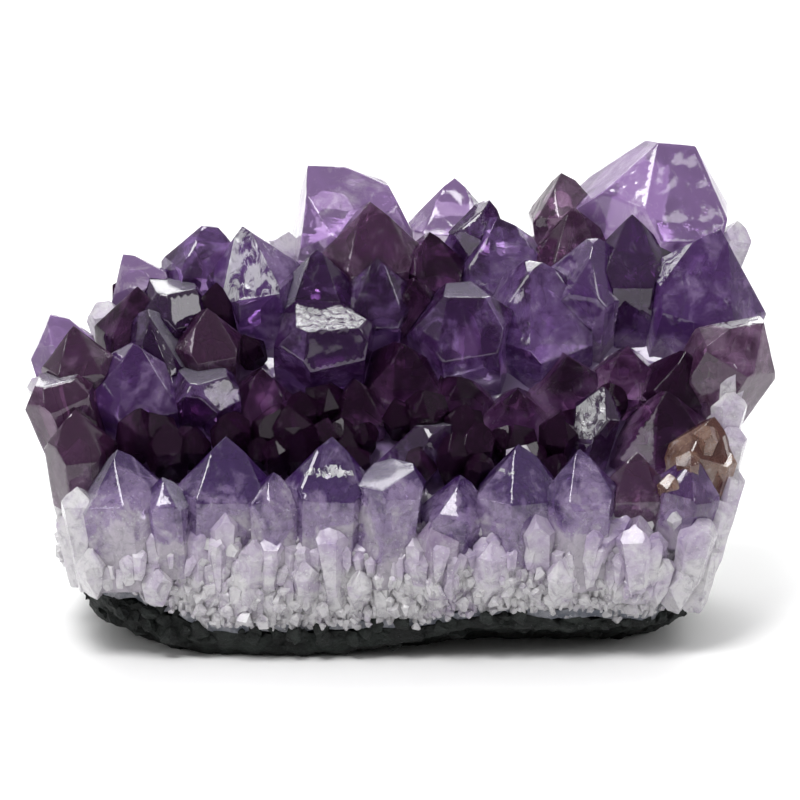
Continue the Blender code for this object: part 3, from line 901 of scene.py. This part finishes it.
def bed_part(name, keep):
    """The faces of the bed for which keep(middle, normal) holds, as a host."""
    part = bed_host.copy()
    part.normal_update()
    drop = [face for face in part.faces if not keep(face.calc_center_median(), face.normal)]
    bmesh.ops.delete(part, geom=drop, context="FACES")
    mesh = bpy.data.meshes.new(name)
    part.to_mesh(mesh)
    part.free()
    print(name, len(mesh.polygons), "faces")
    return mesh


def sheltered(place, normal):
    """In a gap between the points, low in the pocket, and facing out of the stone."""
    clear = crystal_tree.find_nearest(place)[3] >= 1.3 * MM
    inside = up_face(place) < 66 and abs(place.x) < 58 * MM
    return clear and inside and normal.dot(INTO) < 0.2 and bed_growth_and_shade(place) > 0.3


def exposed(place, normal):
    """On the broken rim, and not under the rind or the band."""
    covered = shell_tree.find_nearest(place)[3] < 1.6 * MM
    return bed_growth_and_shade(place) < 0.3 and not covered and place.z > 3 * MM and normal.z > -0.5


def filler_growth(place):
    """How grown a filler is there: nothing in the bed, most at its tip."""
    return 0.75 * smooth(bed_tree.find_nearest(place)[3] / MM, -1, 7)


def on_the_side(place, normal):
    """On the left or right end of the bed, in front."""
    return abs(normal.x) > 0.5 and exposed(place, normal) and depth_of(place) < 30


# the fillers in the pocket take the dark finish, partly painted shade
grow_crystals(
    "pocket_fillers", bed_part("sheltered_bed", sheltered), "amethyst", filler_growth,
    crystals=STUDS, finish=dark, spacing=4.2 * MM, density=3.0e5,
    towards=-INTO * 0.3 + UPRIGHT * 0.6, along_normal=0.5, spread=0.25,
    smallest=5.0, largest=8.5, seed=21,
)
grow_crystals(
    "side_columns", bed_part("sides_of_bed", on_the_side), "quartz", lambda place: 0.25,
    lumpy=(1.6, 0.2), crystals=COLUMNS, finish=milky, spacing=3.0 * MM, density=2.5e5,
    towards=UPRIGHT * 0.8 - INTO * 0.3, along_normal=0.02, spread=0.2,
    smallest=2.6, largest=4.6, seed=10,
)
grow_crystals(
    "rim_druse", bed_part("exposed_bed", exposed), "quartz", lambda place: 0.3,
    crystals=GRAINS, finish=milky, spacing=1.6 * MM, density=6.0e5,
    towards=UPRIGHT * 0.2, along_normal=0.8, spread=0.5, smallest=1.8, largest=3.4, seed=11,
)

# %% [markdown]
# ## Chalcedony and rind
#
# The first lining of the bubble was chalcedony: quartz too fine to show crystals, grey to blue,
# broken here into small lumps. Outside it is the lava, weathered almost black with a green cast,
# pitted where gas left it, and dusted with grains of quartz along its broken lip.

# %% Finishes for the two outer layers
def stone_finish(name, dark, light, fleck, fleck_share, roughness, scale, bump):
    """A mottled opaque finish with scattered flecks."""
    finish = bpy.data.materials.new(name)
    finish.use_nodes = True
    tree = finish.node_tree
    shader = tree.nodes["Principled BSDF"]
    place = add(tree, "ShaderNodeTexCoord").outputs["Object"]
    broad = speckle(tree, place, scale, 8.0, 0.6, 0.0)
    fine = speckle(tree, place, scale * 7, 6.0, 0.7, 0.0)
    colour = mix_colour(tree, ramp(tree, broad, 0.35, 0.68), (*dark, 1), (*light, 1))
    flecks = ramp(tree, fine, 0.72 - fleck_share, 0.78 - fleck_share)
    colour = mix_colour(tree, flecks, colour, (*fleck, 1))
    tree.links.new(colour, shader.inputs["Base Color"])
    lumps = cells(tree, place, scale * 5.0)
    height = maths(tree, "ADD", fine, maths(tree, "MULTIPLY", lumps, 0.8))
    bumps = add(tree, "ShaderNodeBump", {"Height": height, "Strength": bump, "Distance": 0.5 * MM})
    tree.links.new(bumps.outputs[0], shader.inputs["Normal"])
    spread = maths(tree, "ADD", maths(tree, "MULTIPLY", fine, 0.3), roughness - 0.15)
    tree.links.new(spread, shader.inputs["Roughness"])
    return finish


basalt = stone_finish(
    "basalt", (0.005, 0.006, 0.006), (0.020, 0.026, 0.023), (0.13, 0.14, 0.14),
    fleck_share=0.07, roughness=0.80, scale=240.0, bump=0.9,
)
chalcedony = stone_finish(
    "chalcedony", (0.10, 0.11, 0.14), (0.30, 0.30, 0.33), (0.60, 0.59, 0.61),
    fleck_share=0.12, roughness=0.40, scale=300.0, bump=0.6,
)
print("outer finishes:", basalt.name, chalcedony.name)

# %% [markdown]
# ## Rough shapes for both layers
#
# Lava breaks along its gas holes, so its skin is lumpy at several sizes and pitted here and there.
# The lumps are real shape, made by moving the vertices of a refined copy. The underside stays
# above the floor, because the stone stands on it.

# %% Roughen the rind and the band
def roughened(node, longest, swell, pits, finish):
    """A refined copy of a layer with lumps and pits, kept off the floor it stands on."""
    bm = skin_of(node)
    refine(bm, longest)
    bm.normal_update()
    for vert in bm.verts:
        spot = vert.co / MM
        lump = noise.noise(spot / 5.5) + 0.6 * noise.noise(spot / 2.3) + 0.35 * noise.noise(spot / 1.1)
        pit = smooth(noise.noise(spot / 3.2 + Vector((40, 0, 0))), 0.25, 0.6)
        vert.co += vert.normal * (swell * lump - pits * pit) * MM
        vert.co.z = max(0.0, vert.co.z)
    piece = piece_from(bm, f"{node}_rough", finish, corner=24)
    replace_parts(piece, node)
    print(piece.name, len(piece.data.polygons), "faces")


roughened("volcanic_rind", 1.5, 0.85, 1.2, basalt)
roughened("chalcedony_band", 2.3, 0.5, 0.3, chalcedony)
crumbs_cloth = cloth("crumbs_cloth", (-70, 64, 2.8, 10), 0.8, tree_of(["volcanic_rind"]))
grow_crystals(
    "rind_crumbs", crumbs_cloth, "rind", lambda place: 0.0,
    lumpy=(1.0, 0.35), crystals=GRAINS, finish=basalt, spacing=2.0 * MM, density=4.5e5,
    towards=UPRIGHT * 0.8, along_normal=0.28, spread=0.7, smallest=1.6, largest=3.8, seed=12,
)

# %% [markdown]
# ## The floor
#
# A stone like this is shown on a plain pale ground that only takes its shadow. The floor is one
# wide disc, matt and nearly white, so it sends soft light up to the rind.

# %% Floor
FLOOR_RADIUS = 9
bm = bmesh.new()
bmesh.ops.create_circle(bm, cap_ends=True, segments=64, radius=FLOOR_RADIUS)
mesh = bpy.data.meshes.new("floor")
bm.to_mesh(mesh)
bm.free()
floor = bpy.data.objects.new("floor", mesh)
bpy.context.scene.collection.objects.link(floor)
floor_finish = bpy.data.materials.new("floor_white")
floor_finish.use_nodes = True
matt = floor_finish.node_tree.nodes["Principled BSDF"]
matt.inputs["Base Color"].default_value = (0.9, 0.9, 0.9, 1)
matt.inputs["Roughness"].default_value = 0.9
mesh.materials.append(floor_finish)
print("floor set")

# %% [markdown]
# ## The light
#
# Light comes from all round, brighter from above and behind: steep faces stay deep violet, and
# faces that lie almost edge on mirror the bright side and turn pale grey. Three soft lamps add the
# small sharp highlights on ridges and give the crystals a lit and a shaded side.

# %% Light
BRIGHT_SIDE = (0.0, 0.80, 0.60)
scene = bpy.context.scene
scene.view_settings.view_transform = "Standard"
scene.view_settings.exposure = 0.15
world = bpy.data.worlds.new("studio")
scene.world = world
world.use_nodes = True
sky = world.node_tree
ray = add(sky, "ShaderNodeTexCoord").outputs["Generated"]
towards = {0: ray, 1: BRIGHT_SIDE}
towards = add(sky, "ShaderNodeVectorMath", towards, operation="DOT_PRODUCT").outputs["Value"]
panel = {"Value": towards, "From Min": 0.84, "From Max": 0.96, "To Min": 0.0, "To Max": 3.8}
panel = add(sky, "ShaderNodeMapRange", panel)
panel.interpolation_type = "SMOOTHSTEP"
room = {"Value": towards, "From Min": -0.5, "From Max": 0.8, "To Min": 0.12, "To Max": 0.70}
room = add(sky, "ShaderNodeMapRange", room)
backdrop = sky.nodes["Background"]
sky.links.new(maths(sky, "ADD", panel.outputs[0], room.outputs[0]), backdrop.inputs["Strength"])
backdrop.inputs["Color"].default_value = (1, 1, 1, 1)


def softbox(name, place, radiance, size):
    """A square lamp that faces the stone, as bright as stated from wherever it is seen."""
    lamp = bpy.data.lights.new(name, "AREA")
    lamp.energy, lamp.size = radiance * math.pi * size * size, size
    obj = bpy.data.objects.new(name, lamp)
    scene.collection.objects.link(obj)
    obj.location = place
    obj.rotation_mode = "QUATERNION"
    obj.rotation_quaternion = (on_face(0, 45, 10) - Vector(place)).to_track_quat("-Z", "Y")


softbox("overhead", (-0.5, -0.7, 2.1), 11.0, 0.9)
softbox("left", (-1.8, -0.9, 1.1), 5.0, 0.6)
softbox("right", (1.9, -0.5, 0.9), 4.0, 0.6)
print("lit")

# %% [markdown]
# ## The camera
#
# The stone is looked at from a little above and straight in front, square to its show face, from
# far enough away that the perspective is nearly flat.

# %% Camera
DISTANCE = 2.4
LONG_LENS = 540
camera = bpy.data.cameras.new("camera")
camera.sensor_width = 36
camera.lens = LONG_LENS
camera.clip_start, camera.clip_end = 0.1, 50
eye = bpy.data.objects.new("camera", camera)
scene.collection.objects.link(eye)
eye.location = on_face(0, 51.4, 18) - INTO * DISTANCE
eye.rotation_mode = "QUATERNION"
eye.rotation_quaternion = INTO.to_track_quat("-Z", "Y")
scene.camera = eye
print("camera at", [round(v, 3) for v in eye.location])
